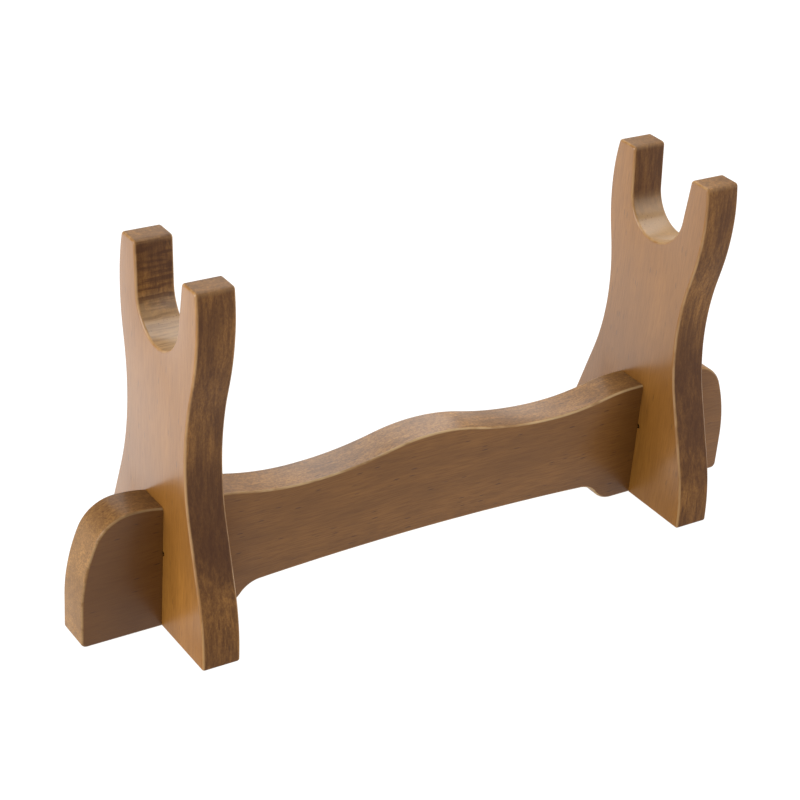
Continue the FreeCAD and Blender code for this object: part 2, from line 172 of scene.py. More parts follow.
# %% Round off a corner
def round_corner(run, x, y, radius):
    corner = Vector((x, y))
    at = min(range(len(run.points)), key=lambda n: (run.points[n] - corner).length)
    corner = run.points[at]
    before = (corner - run.points[at - 1]).normalized()
    after = (run.points[at + 1] - corner).normalized()
    cut = radius * math.tan(abs(before.angle_signed(after)) / 2)
    clear = 1.15 * cut          # no old point is left crowded against the arc
    to_right = before.cross(after) < 0
    side = Vector((-before.y, before.x)) * (-1 if to_right else 1)
    arc = Run(*(corner - before * cut))
    arc.arc(*(arc.points[0] + side * radius), *(corner + after * cut), clockwise=to_right)
    run.points = [p for p in run.points[:at] if (p - corner).length > clear] + arc.points \
        + [p for p in run.points[at + 1:] if (p - corner).length > clear]


trial = Run(0.0, 0.0).line(10 * MM, 0.0).line(10 * MM, 10 * MM)
round_corner(trial, 10 * MM, 0.0, 2 * MM)
print("a square corner rounded to 2 mm has", len(trial.points), "points")

# %% [markdown]
# The stretcher. Its top edge swells in the middle, dips on both sides and rises to a flat at each
# joint. Outside the uprights it ends in a rounded ear, and underneath it is arched between
# two feet, so that it stands on its ends and can't rock. Half is worked out and the rest mirrored.

# %% The stretcher's numbers
HUMP_TO_VALLEY = 9.3 * MM
VALLEY_AT = 75.6 * MM       # from the middle of the stand
HUMP_SHARE = 0.35           # the hump's radius, as a share of both
VALLEY_TO_FLAT = 5.9 * MM
BEND_SHARE = 0.36
FLAT_LEAD = 5.0 * MM        # the flat starts this far before the upright
FLAT_TUCK = 2.0 * MM        # and ends this far inside the upright's outer face
EAR_RISE = 2.1 * MM
EAR_REACH = 26.5 * MM       # from the ear's crest to the end of the board
EAR_SHOULDER = 21.0 * MM
EAR_STRAIGHT = 19.7 * MM    # the upright part of the board's end
TOE = 3.0 * MM
FOOT_LEAD = 12.0 * MM       # the foot starts this far before the upright
OGEE_RUN = 23.2 * MM        # the double curve from foot to arch
ARCH_HEIGHT = 14.4 * MM
ARCH_END = 11.5 * MM

INNER_FACE = UPRIGHT_MIDDLE - UPRIGHT_THICKNESS / 2
OUTER_FACE = UPRIGHT_MIDDLE + UPRIGHT_THICKNESS / 2
VALLEY = BEAM_HEIGHT - HUMP_TO_VALLEY
FLAT = VALLEY + VALLEY_TO_FLAT
print("stretcher is", round(VALLEY / MM, 1), "mm high in the dips and",
      round(FLAT / MM, 1), "at the joints")


# %% The ear's three arcs
def draw_ear(run, outer_wall):
    """From the board's end up and over the ear to the slot's outer wall."""
    crest_x, crest = BEAM_HALF_LENGTH - EAR_REACH, FLAT + EAR_RISE
    drop = crest - EAR_STRAIGHT - EAR_SHOULDER
    side = (EAR_REACH ** 2 + drop ** 2 - EAR_SHOULDER ** 2) / (2 * (EAR_REACH - EAR_SHOULDER))
    side_centre = Vector((BEAM_HALF_LENGTH - side, EAR_STRAIGHT))
    shoulder_centre = Vector((crest_x, crest - EAR_SHOULDER))
    meet = side_centre + (shoulder_centre - side_centre).normalized() * side
    brow_run = crest_x - (OUTER_FACE - FLAT_TUCK)
    brow = (brow_run ** 2 + EAR_RISE ** 2) / (2 * EAR_RISE)
    brow_end = crest - brow + math.sqrt(brow ** 2 - (outer_wall - crest_x) ** 2)
    run.line(BEAM_HALF_LENGTH, EAR_STRAIGHT)
    run.arc(*side_centre, *meet).arc(*shoulder_centre, crest_x, crest)
    run.arc(crest_x, crest - brow, outer_wall, brow_end)


print("the ear turns down over its last", EAR_REACH / MM, "mm")

# %% The stretcher's outline
def stretcher_outline():
    inner_wall, outer_wall = INNER_FACE - JOINT_GAP, OUTER_FACE + JOINT_GAP
    top = Run(inner_wall, FLAT).line(INNER_FACE - FLAT_LEAD, FLAT)
    double_curve(top, VALLEY_AT, VALLEY, level=True, share=BEND_SHARE)
    double_curve(top, 0.0, BEAM_HEIGHT, level=True, share=1 - HUMP_SHARE)
    top.mirrored()

    foot_start = INNER_FACE - FOOT_LEAD
    ogee_end = foot_start - OGEE_RUN
    sag = ARCH_HEIGHT - ARCH_END
    arch = (ogee_end ** 2 + sag ** 2) / (2 * sag)
    half = Run(0.0, ARCH_HEIGHT)
    half.arc(0.0, ARCH_HEIGHT - arch, ogee_end, ARCH_END, clockwise=True)
    double_curve(half, foot_start, 0.0, level=True)
    half.line(BEAM_HALF_LENGTH - TOE, 0.0)
    half.arc(BEAM_HALF_LENGTH - TOE, TOE, BEAM_HALF_LENGTH, TOE)
    draw_ear(half, outer_wall)
    rim = Run(0.0, 0.0)
    rim.points = [Vector((-p.x, p.y)) for p in reversed(half.points[1:])] + half.points

    slots = []
    mouth, end = FLAT - SLOT_LIP, LAP_HEIGHT - LAP_GAP
    for first, second in ((-inner_wall, -outer_wall), (outer_wall, inner_wall)):
        slot = Run(first, mouth, sanded=False)
        slots.append(slot.line(first, end).line(second, end).line(second, mouth))
    return [top, slots[0], rim, slots[1]]


stretcher_runs = stretcher_outline()
print("stretcher's runs have", [len(run.points) for run in stretcher_runs], "points")

# %% [markdown]
# The upright. The foot runs up in one long S to the waist and out again to the shoulder, and the
# cradle is a half-round with walls that open a little. Half of it is drawn and mirrored, because a
# template is cut folded. The slot has two small drilled corners: a square inside corner can't be
# routed, so the maker drills it, and they show as two dark dots beside the stretcher.

# %% The upright's numbers
FOOT_HALF = 105.0 / 2 * MM
WAIST_HALF = 59.3 / 2 * MM
WAIST_HEIGHT = 105.7 * MM
FLANK_STEEPNESS = 1.57
SHOULDER_HALF = 76.4 / 2 * MM
SHOULDER_DROP = 20.2 * MM   # from the tips down
BROW_STEEPNESS = 1.83
TIP_RADIUS = 90.0 * MM      # the outer edge above the shoulder
CRADLE_RADIUS = 20.5 * MM
CRADLE_DEPTH = 42.4 * MM
CRADLE_FLARE = 2.3 * MM     # how much wider each wall stands at the top
PRONG_ROUND = 2.2 * MM
FOOT_ROUND = 1.6 * MM
RELIEF = 1.4 * MM           # radius of the drilled corners
print("cradle is", 2 * CRADLE_RADIUS / MM, "mm wide and", CRADLE_DEPTH / MM, "mm deep")


# %% The upright's outline
def upright_outline():
    shoulder = UPRIGHT_HEIGHT - SHOULDER_DROP
    tip = SHOULDER_HALF - TIP_RADIUS + math.sqrt(TIP_RADIUS ** 2 - SHOULDER_DROP ** 2)
    cradle = Vector((0.0, UPRIGHT_HEIGHT - CRADLE_DEPTH + CRADLE_RADIUS))
    mouth = Vector((CRADLE_RADIUS + CRADLE_FLARE, UPRIGHT_HEIGHT))
    towards = mouth - cradle
    touch = math.atan2(towards.y, towards.x) - math.acos(CRADLE_RADIUS / towards.length)
    wall = BEAM_THICKNESS / 2 + JOINT_GAP

    rim = Run(wall, 0.0).line(FOOT_HALF, 0.0)
    double_curve(rim, WAIST_HALF, WAIST_HEIGHT, level=False, steepness=FLANK_STEEPNESS)
    double_curve(rim, SHOULDER_HALF, shoulder, level=False, steepness=BROW_STEEPNESS)
    rim.arc(SHOULDER_HALF - TIP_RADIUS, shoulder, tip, UPRIGHT_HEIGHT).line(*mouth)
    rim.line(CRADLE_RADIUS * math.cos(touch), cradle.y + CRADLE_RADIUS * math.sin(touch))
    rim.arc(*cradle, 0.0, UPRIGHT_HEIGHT - CRADLE_DEPTH, clockwise=True).mirrored()
    for side in (1, -1):
        round_corner(rim, side * FOOT_HALF, 0.0, FOOT_ROUND)
        round_corner(rim, side * tip, UPRIGHT_HEIGHT, PRONG_ROUND)
        round_corner(rim, side * mouth.x, mouth.y, PRONG_ROUND)

    slot = Run(-wall, SLOT_LIP, sanded=False).line(-wall, LAP_HEIGHT - RELIEF)
    slot.arc(-wall, LAP_HEIGHT, -wall + RELIEF, LAP_HEIGHT, clockwise=True)
    slot.line(wall - RELIEF, LAP_HEIGHT)
    slot.arc(wall, LAP_HEIGHT, wall, LAP_HEIGHT - RELIEF, clockwise=True)
    slot.line(wall, SLOT_LIP)
    return [rim, slot]


upright_runs = upright_outline()
print("upright's runs have", [len(run.points) for run in upright_runs], "points")

# %% [markdown]
# From runs to a wire. The runs are joined into one loop of points, the wire that the board is made
# from. Each point also carries a direction, how far it moves for the path to move by one unit into
# the wood. The rounding needs it, and the sawn runs get none, which is what keeps them crisp.
# An offset by scaling would be simpler, but it is right only for a circle.

# %% Into the wood
def inward_vectors(points):
    vectors = []
    for n, point in enumerate(points):
        sides = []
        if n > 0:
            sides.append((point - points[n - 1]).normalized())
        if n < len(points) - 1:
            sides.append((points[n + 1] - point).normalized())
        normals = [Vector((-side.y, side.x)) for side in sides]
        total = sum(normals, Vector((0, 0)))
        vectors.append(total / (len(normals) * 0.5 * (1 + normals[0].dot(normals[-1]))))
    return vectors


square = [Vector((0, 0)), Vector((1, 0)), Vector((1, 1))]
print("a square corner moves", round(inward_vectors(square)[1].length, 2), "to sink by 1")

# %% The wire
def wire_object(name, runs):
    points, inward = [], []
    for run in runs:
        points += run.points
        inward += inward_vectors(run.points) if run.sanded else [Vector((0, 0))] * len(run.points)
    mesh = bpy.data.meshes.new(name)
    loop = [(n, (n + 1) % len(points)) for n in range(len(points))]
    mesh.from_pydata([(*point, 0.0) for point in points], loop, [])
    attribute = mesh.attributes.new("inward", "FLOAT_VECTOR", "POINT")
    for n, vector in enumerate(inward):
        attribute.data[n].vector = (*vector, 0.0)
    wire = bpy.data.objects.new(name, mesh)
    bpy.context.scene.collection.objects.link(wire)
    print(name, "has", len(points), "points")
    return wire


# %% [markdown]
# Adding nodes. Geometry and materials below are both node trees, and a tree is only nodes with
# values, settings and links. One small helper adds a node of any kind and hands back one of its
# outputs, so that a line of code reads like a line of the recipe.

# %% One helper adds a node
def add(tree, kind, inputs=(), out=0, **settings):
    """Inputs are values or other nodes' outputs, in the order of the node's sockets or by name.
    Settings are the node's properties. Gives the output called out."""
    node = tree.nodes.new(kind)
    for name, value in settings.items():
        setattr(node, name, value)
    for socket, value in (inputs.items() if isinstance(inputs, dict) else enumerate(inputs)):
        if isinstance(value, bpy.types.NodeSocket):
            tree.links.new(value, node.inputs[socket])
        else:
            node.inputs[socket].default_value = value
    return node.outputs[out] if node.outputs else None


MATH, VECTOR, NOISE = "ShaderNodeMath", "ShaderNodeVectorMath", "ShaderNodeTexNoise"
RANGE, MIX = "ShaderNodeMapRange", "ShaderNodeMix"
PLUS, MINUS = {"operation": "ADD"}, {"operation": "SUBTRACT"}
TIMES, TIMES_PLUS = {"operation": "MULTIPLY"}, {"operation": "MULTIPLY_ADD"}
SCALED = {"operation": "SCALE"}
SMOOTH = {"interpolation_type": "SMOOTHSTEP"}
print("kinds of node named:", MATH, VECTOR, NOISE, RANGE, MIX)

# %% [markdown]
# From wire to board. Every board is the same rule: two flat faces, and between them a rim that is
# rounded over where it meets each face. That is a job for Geometry Nodes: one tree, given a
# different wire, thickness and radius each time. A Solidify and a Bevel modifier would come close,
# but they would round the slots too, and they would leave no record of which part is worn.

# %% The sanded-board tree and its inputs
board = bpy.data.node_groups.new("sanded_board", "GeometryNodeTree")
for name, kind in (("Wire", "Geometry"), ("Thickness", "Float"), ("Arris radius", "Float"),
                   ("Wander", "Float"), ("Seed", "Float"), ("Finish", "Material")):
    board.interface.new_socket(name, in_out="INPUT", socket_type="NodeSocket" + kind)
board.interface.new_socket("Board", in_out="OUTPUT", socket_type="NodeSocketGeometry")
given = add(board, "NodeGroupInput").node.outputs
position = add(board, "GeometryNodeInputPosition")
inward = add(board, "GeometryNodeInputNamedAttribute", ("inward",), data_type="FLOAT_VECTOR")
print("tree inputs:", [socket.name for socket in given if socket.name])

# %% [markdown]
# The unsteady hand. No sanding block is held perfectly still, so the radius wanders by a few
# hundredths of a millimetre and the edge with it. That is what makes a real highlight along an
# edge uneven. A noise gives each point of the wire its own number, and the seed makes each
# board's different.

# %% The unsteady hand
HAND_SCALE = 0.06           # one waver about every 17 mm
HAND_SINK = 0.25            # where more is sanded off, the edge itself sinks by this share

per_mm = add(board, VECTOR, {0: position, "Scale": 1 / MM}, **SCALED)
hand = add(board, NOISE, {"Vector": per_mm, "W": given["Seed"], "Scale": HAND_SCALE,
                          "Detail": 2.0}, noise_dimensions="4D")
swing = add(board, MATH, (hand, given["Wander"]), **TIMES)
radius = add(board, MATH, (given["Arris radius"], swing), **PLUS)
sink = add(board, MATH, (swing, HAND_SINK), **TIMES)
sunk = add(board, VECTOR, {0: inward, "Scale": sink}, **SCALED)
wire = add(board, "GeometryNodeSetPosition", {"Geometry": given["Wire"], "Offset": sunk})
wire = add(board, "GeometryNodeStoreNamedAttribute",
           {"Geometry": wire, "Name": "rounding", "Value": radius},
           data_type="FLOAT", domain="POINT")
rounding = add(board, "GeometryNodeInputNamedAttribute", ("rounding",), data_type="FLOAT")
print("nodes so far:", len(board.nodes))

# %% [markdown]
# The rim. A grid is laid round the wire, one column for each of its points and one row for each
# step of the rounding: a quarter turn at the lower face, then a quarter turn at the upper one.
# A row's place in the quarter turn gives an angle, and the angle's sine and cosine say how far the
# point sits inside the wire and below the face.

# %% Rows and columns of the rim
ROUND_STEPS = 6             # rows in one quarter turn
ROWS = 2 * (ROUND_STEPS + 1)

count = add(board, "GeometryNodeAttributeDomainSize", (wire,), component="MESH")
around = add(board, MATH, (count, 1), **PLUS)
grid = add(board, "GeometryNodeMeshGrid", {"Vertices X": ROWS, "Vertices Y": around,
                                           "Size X": 1.0, "Size Y": 1.0}, out="Mesh")
index = add(board, "GeometryNodeInputIndex")
row = add(board, MATH, (add(board, MATH, (index, around), operation="DIVIDE"),),
          operation="FLOOR")
column = add(board, MATH, (index, around), operation="MODULO")
place = add(board, MATH, (column, count), operation="MODULO")
upper = add(board, MATH, (row, ROUND_STEPS + 0.5), operation="GREATER_THAN")
from_top = add(board, MATH, (ROWS - 1, row), **MINUS)
step = add(board, MIX, {"Factor": upper, "A": row, "B": from_top})
angle = add(board, MATH, (step, math.pi / 2 / ROUND_STEPS), **TIMES)
print("rim has", ROWS, "rows")

# %% Each point of the rim takes its place
point, into, radius_here = (
    add(board, "GeometryNodeSampleIndex", {"Geometry": wire, "Value": value, "Index": place},
        data_type=data_type, domain="POINT")
    for value, data_type in ((position, "FLOAT_VECTOR"), (inward, "FLOAT_VECTOR"),
                             (rounding, "FLOAT")))
inset, depth = (
    add(board, MATH, (radius_here, add(board, MATH, (1.0, add(
        board, MATH, (angle,), operation=wave)), **MINUS)), **TIMES)
    for wave in ("SINE", "COSINE"))
half = add(board, MATH, (given["Thickness"], 0.5), **TIMES)
side = add(board, MATH, (upper, 2.0, -1.0), **TIMES_PLUS)
height = add(board, MATH, (side, add(board, MATH, (half, depth), **MINUS)), **TIMES)
insets = add(board, "ShaderNodeCombineXYZ", (inset, inset, inset))
moved = add(board, VECTOR, (into, insets, point), **TIMES_PLUS)
upward = add(board, "ShaderNodeCombineXYZ", {2: height})
settled = add(board, VECTOR, (moved, upward), **PLUS)
rim = add(board, "GeometryNodeSetPosition", {"Geometry": grid, "Position": settled})
print("nodes so far:", len(board.nodes))

# %% [markdown]
# Notes for the finisher. Stain and lacquer take differently on a face, an edge, a rubbed arris and
# a sawn slot. The tree knows where each of them is, so it writes it on the points: "edge" is 0 on
# a face and 1 on the rim, "arris" is 1 in the middle of the rounding, and "sawn" is 1 in a slot.

# %% Where the finish differs
reach = add(board, VECTOR, (into,), out="Value", operation="LENGTH")
sanded = add(board, MATH, (reach, 1.0), operation="MINIMUM")
twice = add(board, MATH, (angle, 2.0), **TIMES)
middle = add(board, MATH, (twice,), operation="SINE")
notes = {"arris": add(board, MATH, (sanded, middle), **TIMES),
         "edge": add(board, MATH, (step, ROUND_STEPS), operation="DIVIDE"),
         "sawn": add(board, MATH, (1.0, sanded), **MINUS)}
for name, value in notes.items():
    rim = add(board, "GeometryNodeStoreNamedAttribute",
              {"Geometry": rim, "Name": name, "Value": value}, data_type="FLOAT", domain="POINT")
print("notes on the rim:", list(notes))

# %% [markdown]
# The two faces are the wire drawn in by the rounding and filled. They are moved out to both sides,
# joined to the rim, and sewn to it by merging points that lie on each other.

# %% Faces, sewing and finish
SEAM = 0.004 * MM           # far less than the shortest edge of the rim

drawn_in = add(board, VECTOR, {0: inward, "Scale": rounding}, **SCALED)
face_wire = add(board, "GeometryNodeSetPosition", {"Geometry": wire, "Offset": drawn_in})
face_loop = add(board, "GeometryNodeMeshToCurve", {"Mesh": face_wire})
filled = add(board, "GeometryNodeFillCurve", {"Curve": face_loop})
parts = [rim]
for sign in (-1, 1):
    shift = add(board, "ShaderNodeCombineXYZ", {2: add(board, MATH, (half, sign), **TIMES)})
    parts.append(add(board, "GeometryNodeSetPosition", {"Geometry": filled, "Offset": shift}))
joined = add(board, "GeometryNodeJoinGeometry")
for part in parts:
    board.links.new(part, joined.node.inputs[0])
sewn = add(board, "GeometryNodeMergeByDistance", {"Geometry": joined, "Distance": SEAM})
real = add(board, "GeometryNodeRealizeInstances", {"Geometry": sewn})
finished = add(board, "GeometryNodeSetMaterial",
               {"Geometry": real, "Material": given["Finish"]})
add(board, "NodeGroupOutput", {"Board": finished})
print("board tree has", len(board.nodes), "nodes")


# %% [markdown]
# Colour. Every stain colour is written as the hex value one would pick on a screen, and one
# function turns it into the linear light that the renderer mixes.

# %% Hex colours to linear light
def linear(hex_colour):
    values = [int(hex_colour[start:start + 2], 16) / 255 for start in (1, 3, 5)]
    channels = [v / 12.92 if v <= 0.04045 else ((v + 0.055) / 1.055) ** 2.4 for v in values]
    return (*channels, 1.0)


print("the grey #808080 is", round(linear("#808080")[0], 3), "in linear light")

# %% [markdown]
# The wood. It is a light, even hardwood. Grain is a solid thing: fibres, pores and growth bands
# run through the board in one direction. So each pattern is made in three dimensions in the
# board's own space, stretched along the grain, and every cut shows the right thing, long streaks
# on a face and dots on end grain. An image of wood would have to be wrapped round every edge.
# Each cell below is a size in millimetres. The bands, blots and clouds are as large as real ones.
# A fibre is really about 0.02 mm wide and is drawn at 0.6, and a pore is about 0.2 mm wide and is
# drawn at about 0.5, because thinner lines vanish at this distance.

# %% The patterns of the wood
ALONG_X, ALONG_Z = (0, 2, 1), (2, 1, 0)     # the axes along, across and through the grain
DRIFT_CELL, DRIFT = (110, 30, 30), (0.0, 9.0, 9.0)      # the fibres swerve by a few mm
FIBRE_CELL = (12, 0.6, 0.6)
PORE_CELL, PORE_WIDTH, PORE_LOT = (11, 1.5, 1.5), (0.1, 0.24), (0.55, 0.85)

WAVY, STRAIGHT = 0, 1
PATTERNS = {                # space, cell in mm, detail, roughness, and what becomes 0 and 1
    "bands": (WAVY, (170, 6, 11), 3.0, 0.5, 0.35, 0.65),        # growth rings cut lengthways
    "patches": (STRAIGHT, (40, 16, 16), 2.0, 0.5, 0.3, 0.7),    # uneven stain on a face
    "specks": (STRAIGHT, (1.6, 0.8, 0.8), 2.0, 0.7, 0.38, 0.62),    # stain caught in end grain
    "streaks": (WAVY, (30, 2, 2), 3.0, 0.65, 0.36, 0.66),
    "clouds": (STRAIGHT, (46, 30, 30), 1.0, 0.5, 0.38, 0.62),
    "blots": (STRAIGHT, (22, 6, 6), 3.0, 0.6, 0.36, 0.66)}
LINE_SPREAD = (0.35, 0.72)  # of the fibres: what becomes 0 and 1 in the lines between them
print("patterns:", list(PATTERNS))


# %% Grow the grain
def grow_grain(tree, axes, order):
    """The patterns of the wood by name, each a number from 0 to 1 at every point."""
    turned = add(tree, "ShaderNodeCombineXYZ", [axes[axis] for axis in order])
    straight = add(tree, VECTOR, {0: turned, "Scale": 1 / MM}, **SCALED)
    slow = add(tree, VECTOR, (straight, [1 / mm for mm in DRIFT_CELL]), **TIMES)
    drift = add(tree, NOISE, {"Vector": slow, "Scale": 1.0, "Detail": 1.0}, out="Color")
    drift = add(tree, VECTOR, (drift, DRIFT), **TIMES)
    wavy = add(tree, VECTOR, (straight, drift), **PLUS)

    cells = add(tree, VECTOR, (wavy, [1 / mm for mm in FIBRE_CELL]), **TIMES)
    grain = {"fibres": add(tree, NOISE, {"Vector": cells, "Scale": 1.0, "Detail": 3.0,
                                         "Roughness": 0.6})}
    grain["lines"] = add(tree, RANGE, (grain["fibres"], *LINE_SPREAD), **SMOOTH)
    for name, (space, cell, detail, rough, low, high) in PATTERNS.items():
        cells = add(tree, VECTOR, ((wavy, straight)[space], [1 / mm for mm in cell]), **TIMES)
        noise = add(tree, NOISE, {"Vector": cells, "Scale": 1.0, "Detail": detail,
                                  "Roughness": rough})
        grain[name] = add(tree, RANGE, (noise, low, high), **SMOOTH)

    cells = add(tree, VECTOR, (wavy, [1 / mm for mm in PORE_CELL]), **TIMES)
    pore = add(tree, "ShaderNodeTexVoronoi", {"Vector": cells, "Scale": 1.0}).node.outputs
    lot = add(tree, "ShaderNodeSeparateXYZ", (pore["Color"],))
    near = add(tree, RANGE, (pore["Distance"], *PORE_WIDTH, 1.0, 0.0), **SMOOTH)
    chosen = add(tree, RANGE, (lot, *PORE_LOT), **SMOOTH)
    grain["pores"] = add(tree, MATH, (near, chosen), **TIMES)
    return grain


print("a pore is up to", round(2 * PORE_WIDTH[1] * PORE_CELL[1], 1), "mm wide and",
      round(2 * PORE_WIDTH[1] * PORE_CELL[0], 1), "mm long")

# %% [markdown]
# Places on the stand. A finish also depends on where it is. The cradles' bottoms are painted
# paler, a painted highlight on these up-facing floors, and take more lacquer, and the one on the
# left shows ripples such as a cutter leaves. Beside the joints the stretcher is painted darker, a
# painted shade, and the lacquer thins out towards the uprights' feet.
# A painted mask could say this, but measuring the place keeps it sharp and tied to the sizes.

# %% Where a point is
CRADLE_SIDE = (22.0, 27.0)      # mm from the middle: the cradle's walls, the outer edges
CRADLE_FLOOR = (144.0, 147.0)   # mm up, just under the cradle's bottom
CRADLE_BOTTOM_UP_TO = (151.0, 168.0)       # mm up: the cradle's bottom, painted paler, lies below, not above
JOINT_SHADE = (12.0, 45.0)      # mm from the middle of a joint: how far the painted shade beside it reaches


def find_places(tree, axes):
    """Distances in mm from the middle of the stand, and places as numbers from 0 to 1."""
    across, depth, height = (add(tree, MATH, (axes[n], 1 / MM), **TIMES) for n in range(3))
    length, depth = (add(tree, MATH, (value,), operation="ABSOLUTE")
                     for value in (across, depth))
    beside = add(tree, RANGE, (depth, *CRADLE_SIDE, 1.0, 0.0), **SMOOTH)
    above = add(tree, RANGE, (height, *CRADLE_FLOOR), **SMOOTH)
    cradle = add(tree, MATH, (beside, above), **TIMES)
    bottom = add(tree, RANGE, (height, *CRADLE_BOTTOM_UP_TO, 1.0, 0.0), **SMOOTH)
    to_joint = add(tree, MATH, (length, UPRIGHT_MIDDLE / MM), **MINUS)
    to_joint = add(tree, MATH, (to_joint,), operation="ABSOLUTE")
    return {"across": across, "length": length, "depth": depth, "height": height,
            "cradle": cradle, "cradle_bottom": add(tree, MATH, (cradle, bottom), **TIMES),
            "joint": add(tree, RANGE, (to_joint, *JOINT_SHADE, 1.0, 0.0), **SMOOTH)}


print("a joint is", round(UPRIGHT_MIDDLE / MM, 3), "mm from the middle")

# %% Ripples of the cutter in the left cradle
RIPPLE_CELL = (3.1, 24, 24)     # mm: one ripple every 3 mm along the cut
RIPPLE_DEPTH = (0.7, 0.35)      # how dark, on the walls and on the cradle's bottom
RIPPLE_SPREAD = (0.42, 0.6)     # of the noise: what becomes 0 and 1


def cutter_ripples(tree, places):
    along_cut = add(tree, MATH, (places["height"], places["depth"]), **PLUS)
    cut = add(tree, "ShaderNodeCombineXYZ", (along_cut, places["across"]))
    cells = add(tree, VECTOR, (cut, [1 / mm for mm in RIPPLE_CELL]), **TIMES)
    noise = add(tree, NOISE, {"Vector": cells, "Scale": 1.0, "Detail": 2.0, "Roughness": 0.6})
    ripple = add(tree, RANGE, (noise, *RIPPLE_SPREAD), **SMOOTH)
    on_left = add(tree, MATH, (places["across"], 0.0), operation="LESS_THAN")
    strength = add(tree, RANGE, (places["cradle_bottom"], 0.0, 1.0, *RIPPLE_DEPTH), **SMOOTH)
    for limit in (places["cradle"], on_left, strength):
        ripple = add(tree, MATH, (ripple, limit), **TIMES)
    return ripple


print("ripples are", RIPPLE_CELL[0], "mm apart")

# %% [markdown]
# Stain on the faces. A face is cut along the fibres, drinks little and comes out even and golden:
# the pale colour, deepened a little by growth bands, by the darker lines between fibres, and
# by broad patches where the rag passed twice. Each pattern pushes the colour towards the deep one.

# %% Stain a face
FACE_MOTTLE = (("bands", 0.2), ("lines", 0.55), ("patches", 0.3))


def stain_face(tree, wood, grain, places, in_darker_zone):
    pale, deep = (linear(colour) for colour in wood["face"])
    layers = [(grain[name], amount) for name, amount in FACE_MOTTLE]
    # The darker zone deepens it: painted shade on the stretcher's left ear, a darker band on the
    # uprights.
    layers.append((in_darker_zone, wood["darker_zone"]["face"]))
    # On the stretcher, painted shade beside the joints.
    if "joint" in wood:
        layers.append((places["joint"], wood["joint"]["face"]))
    colour = pale
    for pattern, amount in layers:
        share = add(tree, MATH, (pattern, amount), **TIMES)
        colour = add(tree, MIX, {0: share, 6: colour, 7: deep}, out=2, data_type="RGBA")
    return colour


print("a face is stained in the order", [name for name, amount in FACE_MOTTLE])

# %% [markdown]
# Stain on the edges. An edge shows cut fibre ends, which drink the stain like a bundle of straws,
# so it comes out darker and much more mottled than a face. On the cradles' bottoms, on the prongs'
# tips and on the ears' ends it is painted paler, a painted highlight where these face the light.

# %% Stain an edge
PRONG_TOP, EAR_END = (187.0, 189.5), (176.0, 193.0)     # mm up, and mm from the middle
# How much paler each place is painted: a painted highlight.
PAINTED_LIGHT = {"cradle_bottom": 0.45, "prong tops": 0.12, "ear ends": 0.08}


def stain_edge(tree, wood, grain, places, in_darker_zone):
    colour, deep = (linear(tone) for tone in wood["edge"])
    tops = add(tree, RANGE, (places["height"], *PRONG_TOP), **SMOOTH)
    ends = add(tree, RANGE, (places["length"], *EAR_END), **SMOOTH)
    bottom_lit, top, end = (
        add(tree, MATH, (place, amount), **TIMES)
        for place, amount in zip((places["cradle_bottom"], tops, ends), PAINTED_LIGHT.values()))
    lightened = add(tree, MATH, (bottom_lit, top), operation="MAXIMUM")
    lightened = add(tree, MATH, (lightened, end), operation="MAXIMUM")

    layers = [(grain[name], amount, deep) for name, amount in wood["mottle"].items()]
    # The painted highlight on those places, then the darker zone.
    layers += [(lightened, 1.0, linear(wood["worn_and_lit"])), (in_darker_zone, wood["darker_zone"]["edge"], deep)]
    # Painted shade beside the joints.
    if "joint" in wood:
        layers.append((places["joint"], wood["joint"]["edge"], deep))
    layers.append((cutter_ripples(tree, places), 1.0, deep))
    for pattern, amount, towards in layers:
        share = add(tree, MATH, (pattern, amount), **TIMES)
        colour = add(tree, MIX, {0: share, 6: colour, 7: towards}, out=2, data_type="RGBA")
    return colour


print("an edge is faded at its", list(PAINTED_LIGHT))

# %% [markdown]
# Pores and pale arrises. Dark stain stays in the pores. Every arris is painted paler, unevenly,
# and
# less so on the ears: partly wear rubbed through to pale wood, partly a painted highlight along
# the rounding. The tree's notes on the rim say where the arris is, so the paling can't slide off
# it, as it could if it were painted on by hand.

# %% Join the stains
PORE_COLOUR = "#3A2212"
ON_EDGE, ON_ARRIS = (0.35, 1.0), (0.2, 1.0)     # of the rim's notes: where each one takes over
EAR_WEAR_AND_HIGHLIGHT = (150.0, 172.0, 1.0, 0.45)            # mm from the middle, and the arris paling, wear and painted highlight, at each
DARKER_CORE = 0.3             # the share of a darker zone's reach over which it is at its darkest
BLOT_GUARD = 3              # a dark blot is paled this many times less


